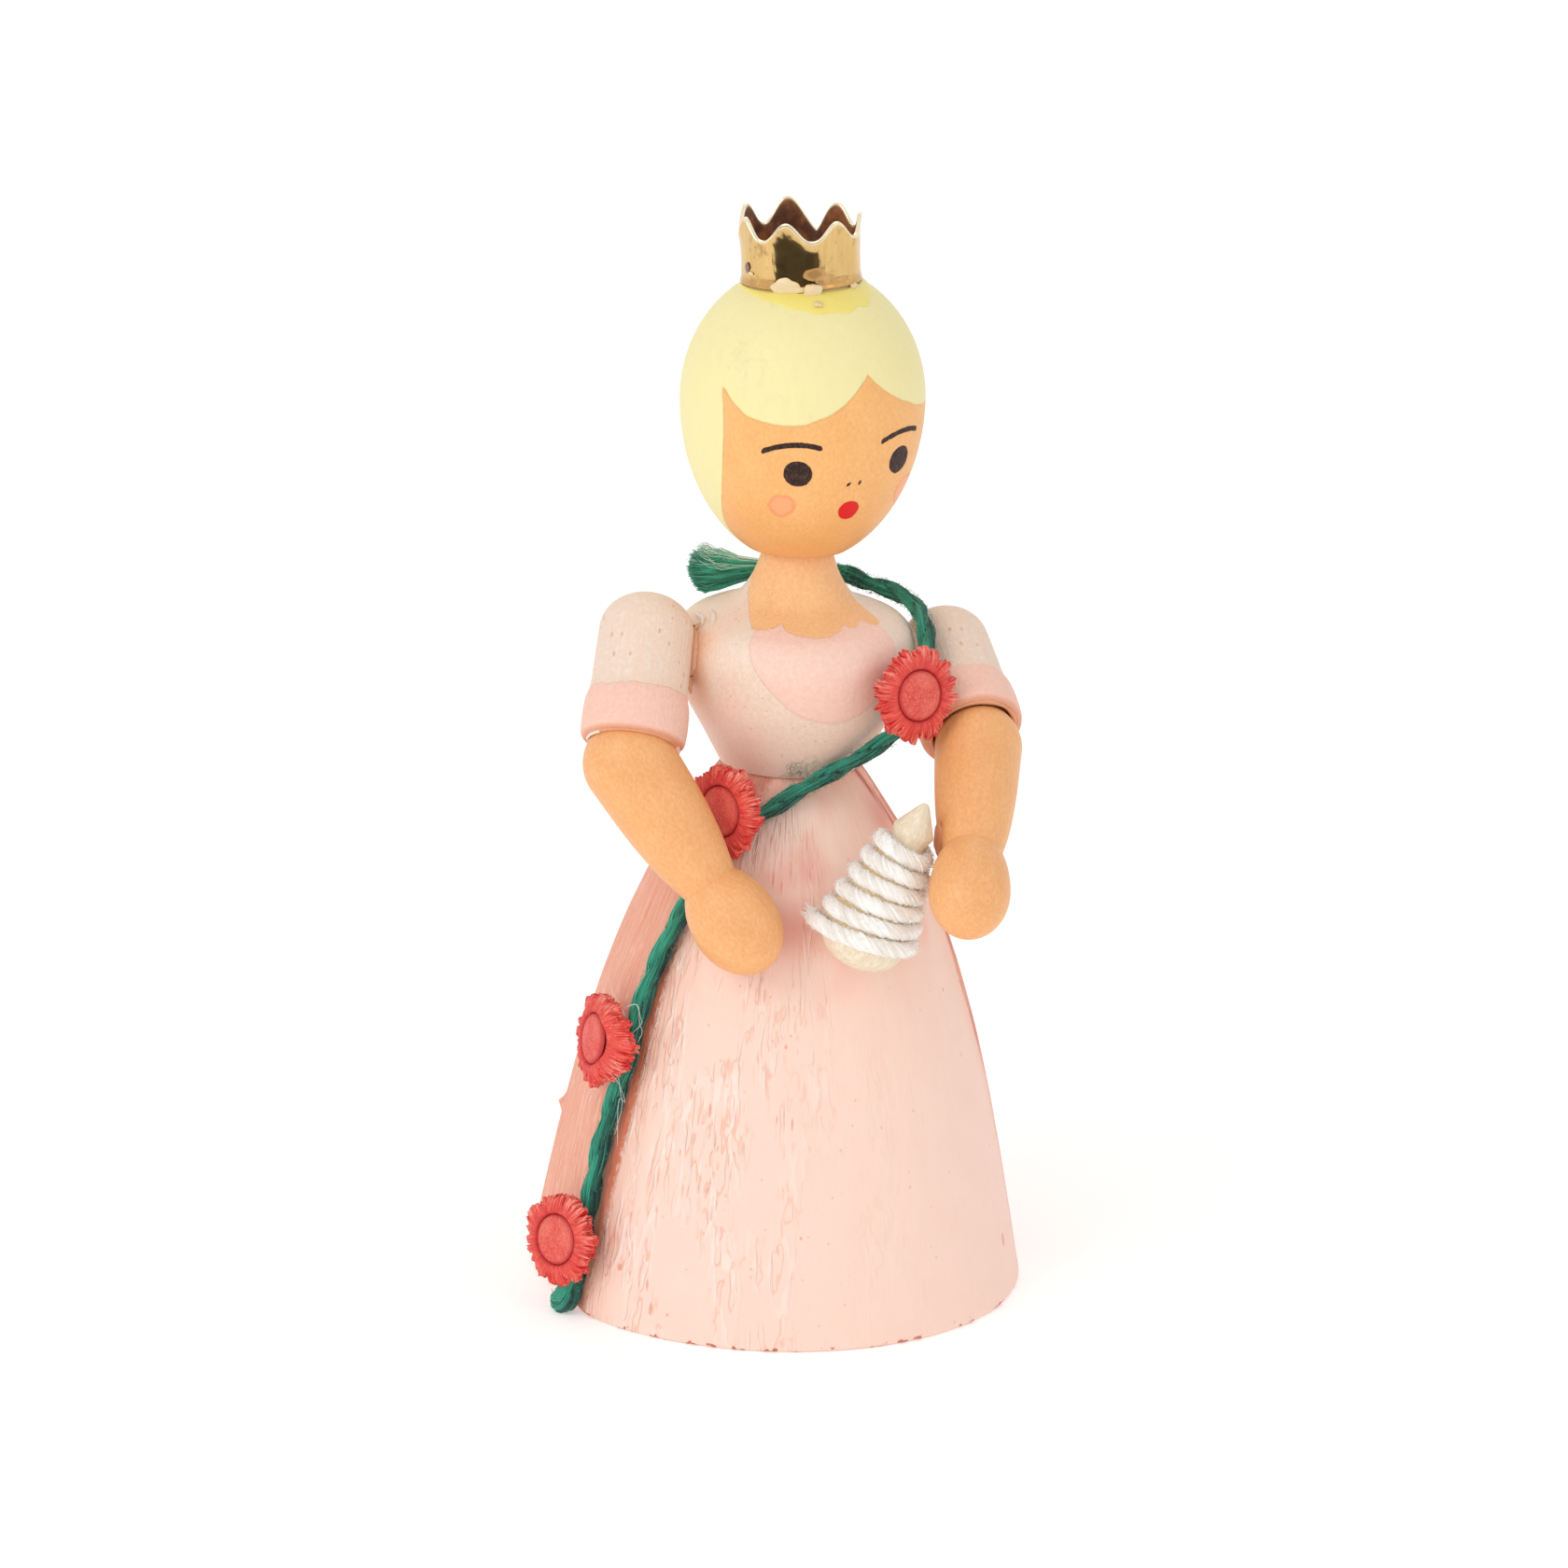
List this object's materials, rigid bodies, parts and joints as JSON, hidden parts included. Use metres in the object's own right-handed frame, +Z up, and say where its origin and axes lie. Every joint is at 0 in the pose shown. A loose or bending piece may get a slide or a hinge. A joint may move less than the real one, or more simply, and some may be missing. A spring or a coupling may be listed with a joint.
{
  "type": "wooden princess figure",
  "caption": "Turned and painted wooden princess doll on a skirt that is its base, with glued arms, a stamped crown, a wound spindle and a yarn sash with flowers.",
  "frame": {"origin": "middle of the skirt's flat base, on the surface that the figure stands on", "axes": "+Z up along the axis of the skirt, torso and head; the figure faces -Y, with its right side at -X"},
  "size_m": [0.0391, 0.0417, 0.08],
  "materials": {
    "skirt_paint": "matte pale pink paint, cracked, over turned wood",
    "bodice_paint": "matte cream paint over turned wood",
    "skin_paint": "satin skin-coloured paint over turned wood",
    "hair_paint": "satin pale yellow and skin-coloured paint over turned wood",
    "crown_brass": "polished",
    "bare_wood": "bare",
    "cotton": "twisted cotton",
    "green_yarn": "twisted wool",
    "red_wood": "stained wood shavings"
  },
  "bodies": {
    "root": {"skirt": "skirt_paint", "torso": "bodice_paint", "shoulder_dowel_right": "bare_wood", "shoulder_dowel_left": "bare_wood", "sleeve_right": "bodice_paint", "sleeve_left": "bodice_paint", "forearm_right": "skin_paint", "forearm_left": "skin_paint", "head": "hair_paint", "crown": "crown_brass", "spindle_core": "bare_wood", "spindle_thread": "cotton", "sash_twine": "green_yarn", "flower_shoulder_petals": "red_wood", "flower_shoulder_button": "red_wood", "flower_waist_petals": "red_wood", "flower_waist_button": "red_wood", "flower_skirt_petals": "red_wood", "flower_skirt_button": "red_wood", "flower_hem_petals": "red_wood", "flower_hem_button": "red_wood"}
  },
  "joints": []
}
